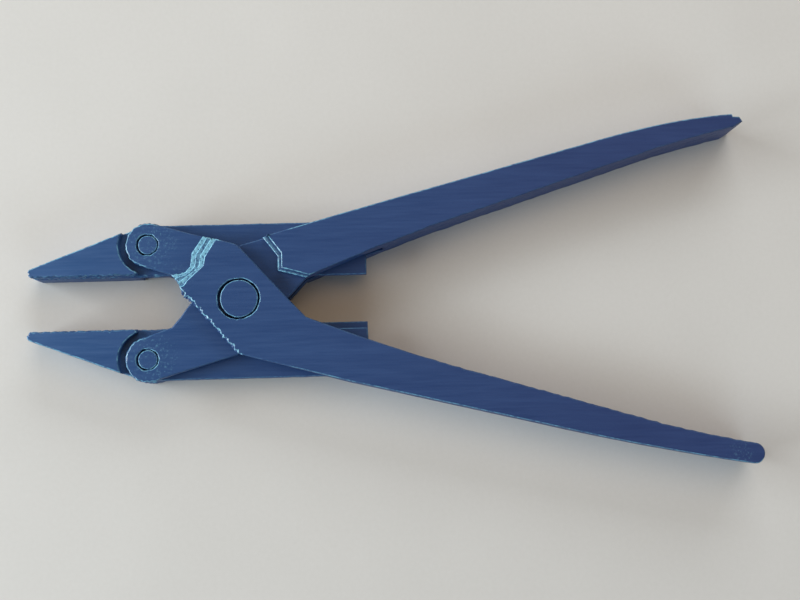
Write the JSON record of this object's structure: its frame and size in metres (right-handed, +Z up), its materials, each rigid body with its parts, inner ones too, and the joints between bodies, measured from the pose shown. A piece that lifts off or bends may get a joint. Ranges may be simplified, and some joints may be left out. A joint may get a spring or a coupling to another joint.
{
  "type": "parallel-jaw pliers",
  "caption": "Blue 3D-printed pliers: tapering jaws carried on crossing handles by round pins, with guided tails that keep the jaws parallel as the grips close.",
  "frame": {"origin": "on the main pivot's axis, in the plane the tool lies on", "axes": "+Z up from the table along every pin, +X along the tool from the jaws to the grips midway between the open handles, +Y across it towards the upper jaw"},
  "size_m": [0.1808, 0.088, 0.012],
  "materials": {
    "blue_print": "semi-gloss printed plastic with fine bead lines"
  },
  "bodies": {
    "lower_handle": {"lower_handle": "blue_print", "lower_guide_pin": "blue_print"},
    "upper_handle": {"upper_handle": "blue_print", "upper_guide_pin": "blue_print", "main_pivot_pin": "blue_print"},
    "upper_jaw": {"upper_jaw": "blue_print", "upper_jaw_pin": "blue_print"},
    "lower_jaw": {"lower_jaw": "blue_print", "lower_jaw_pin": "blue_print"}
  },
  "joints": [
    {"name": "handle_pivot", "type": "hinge", "parent": "lower_handle", "child": "upper_handle", "pos_m": [0, 0, 0], "axis": [0, 0, 1], "range_deg": [-30.62, 0]},
    {"name": "upper_jaw_pivot", "type": "hinge", "parent": "lower_handle", "child": "upper_jaw", "pos_m": [-0.02288, 0.01434, 0], "axis": [0, 0, 1], "range_deg": [-15.31, 0]},
    {"name": "lower_jaw_pivot", "type": "hinge", "parent": "upper_handle", "child": "lower_jaw", "pos_m": [-0.02288, -0.01434, 0], "axis": [0, 0, 1], "range_deg": [0, 15.31]}
  ],
  "couplings": [
    {"joint": "upper_jaw_pivot", "follows": "handle_pivot", "ratio": 0.5},
    {"joint": "lower_jaw_pivot", "follows": "handle_pivot", "ratio": -0.5}
  ]
}
